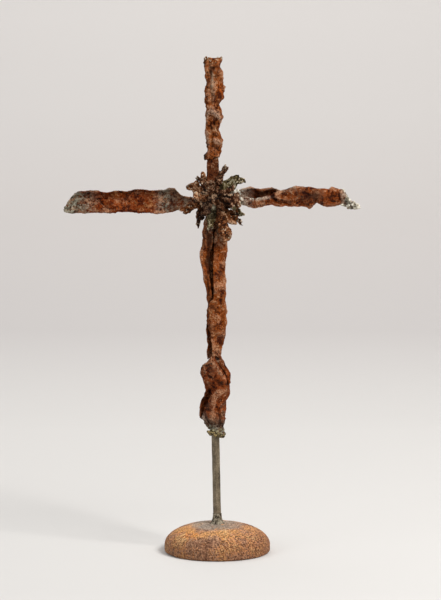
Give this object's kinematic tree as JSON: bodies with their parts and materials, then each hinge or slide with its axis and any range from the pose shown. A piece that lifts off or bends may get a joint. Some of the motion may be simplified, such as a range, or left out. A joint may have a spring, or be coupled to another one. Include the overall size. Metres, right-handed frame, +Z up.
{
  "type": "welded scrap-iron cross on stand",
  "caption": "Free-standing cross of crumpled, torch-cut rusty sheet-iron scraps welded round a jagged rosette, held by a thin square rod on a round domed base.",
  "frame": {"origin": "centre of the round base on the surface that it stands on", "axes": "+Z up the rod and the cross, X along the arms with the left arm at -X, -Y towards the viewer"},
  "size_m": [0.3183, 0.1142, 0.5339],
  "materials": {
    "rusty_base": "orange and grey rust, matt and pitted",
    "rod_steel": "olive-brown mill scale, satin",
    "weld_metal": "dark lumpy weld metal, satin",
    "slag_weld": "gold and green heat-tinted weld",
    "rusty_sheet": "dark red-brown and orange rust, matt",
    "burnt_petal": "burnt brown and grey-green torch-cut flakes"
  },
  "bodies": {
    "root": {"base_dome": "rusty_base", "rod": "rod_steel", "rod_foot_weld": "weld_metal", "rod_head_weld": "slag_weld", "lower_roll": "rusty_sheet", "mid_weld": "weld_metal", "mid_roll": "rusty_sheet", "arm_left": "rusty_sheet", "arm_right": "rusty_sheet", "neck_strip": "rusty_sheet", "top_roll": "rusty_sheet", "rosette_hub": "weld_metal", "petal_1": "burnt_petal", "petal_2": "burnt_petal", "petal_3": "burnt_petal", "petal_4": "burnt_petal", "petal_5": "burnt_petal", "petal_6": "burnt_petal", "petal_7": "burnt_petal", "petal_8": "burnt_petal", "petal_9": "burnt_petal", "petal_10": "burnt_petal", "petal_11": "burnt_petal", "petal_12": "burnt_petal", "petal_13": "burnt_petal", "petal_14": "burnt_petal", "petal_15": "burnt_petal", "petal_16": "burnt_petal", "petal_17": "burnt_petal", "petal_18": "burnt_petal", "petal_19": "burnt_petal"}
  },
  "joints": []
}
